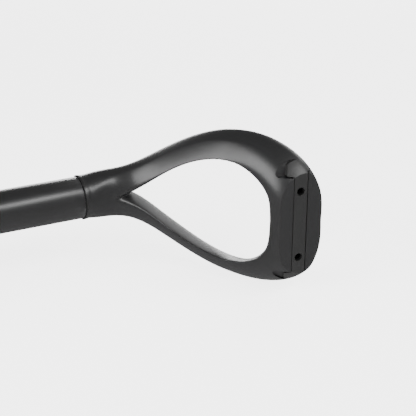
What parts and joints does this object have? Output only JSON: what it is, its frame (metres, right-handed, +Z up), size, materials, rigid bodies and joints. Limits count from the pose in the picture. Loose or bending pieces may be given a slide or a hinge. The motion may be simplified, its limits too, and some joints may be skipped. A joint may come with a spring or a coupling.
{
  "type": "post hole digger",
  "caption": "Clamshell post hole digger: cranked steel handles with moulded loop grips turn on a pivot bolt and close a dished blade on each side.",
  "frame": {"origin": "centre of the tool's footprint on the surface it lies on, jaws closed and handles spread", "axes": "+X from the blades to the grips, +Y across the handles to the left lever, +Z up along the pivot bolt"},
  "size_m": [1.4412, 0.843, 0.128],
  "materials": {
    "grip_plastic": "satin moulded",
    "strip_rubber": "matte",
    "screw_steel": "black oxide",
    "ring_rubber": "matte",
    "rivet_black": "satin",
    "tube_paint": "satin powder coat",
    "blade_steel": "dark coated steel, ground at the edge",
    "socket_paint": "satin powder coat on cast iron",
    "fastener_steel": "zinc plated",
    "bush_bronze": "turned"
  },
  "bodies": {
    "left_lever": {"left_blade_bolt_1": "fastener_steel", "left_blade_nut_1": "fastener_steel", "left_blade_bolt_2": "fastener_steel", "left_blade_nut_2": "fastener_steel", "left_blade_bolt_3": "fastener_steel", "left_blade_nut_3": "fastener_steel", "left_blade": "blade_steel", "left_socket": "socket_paint", "left_socket_bolt": "fastener_steel", "left_socket_nut": "fastener_steel", "left_tube": "tube_paint", "left_grip": "grip_plastic", "left_grip_strip": "strip_rubber", "left_grip_screw_1": "screw_steel", "left_grip_screw_2": "screw_steel", "left_collar_ring": "ring_rubber", "left_grip_rivet": "rivet_black", "pivot_bolt": "fastener_steel", "pivot_washer_top": "fastener_steel", "pivot_washer_bottom": "fastener_steel", "pivot_nut": "fastener_steel", "pivot_bush": "bush_bronze"},
    "right_lever": {"right_blade_bolt_1": "fastener_steel", "right_blade_nut_1": "fastener_steel", "right_blade_bolt_2": "fastener_steel", "right_blade_nut_2": "fastener_steel", "right_blade_bolt_3": "fastener_steel", "right_blade_nut_3": "fastener_steel", "right_blade": "blade_steel", "right_socket": "socket_paint", "right_socket_bolt": "fastener_steel", "right_socket_nut": "fastener_steel", "right_tube": "tube_paint", "right_grip": "grip_plastic", "right_grip_strip": "strip_rubber", "right_grip_screw_1": "screw_steel", "right_grip_screw_2": "screw_steel", "right_collar_ring": "ring_rubber", "right_grip_rivet": "rivet_black"}
  },
  "joints": [
    {"name": "pivot_hinge", "type": "hinge", "parent": "left_lever", "child": "right_lever", "pos_m": [-0.38876, 0, 0.064], "axis": [0, 0, 1], "range_deg": [0, 33]}
  ]
}
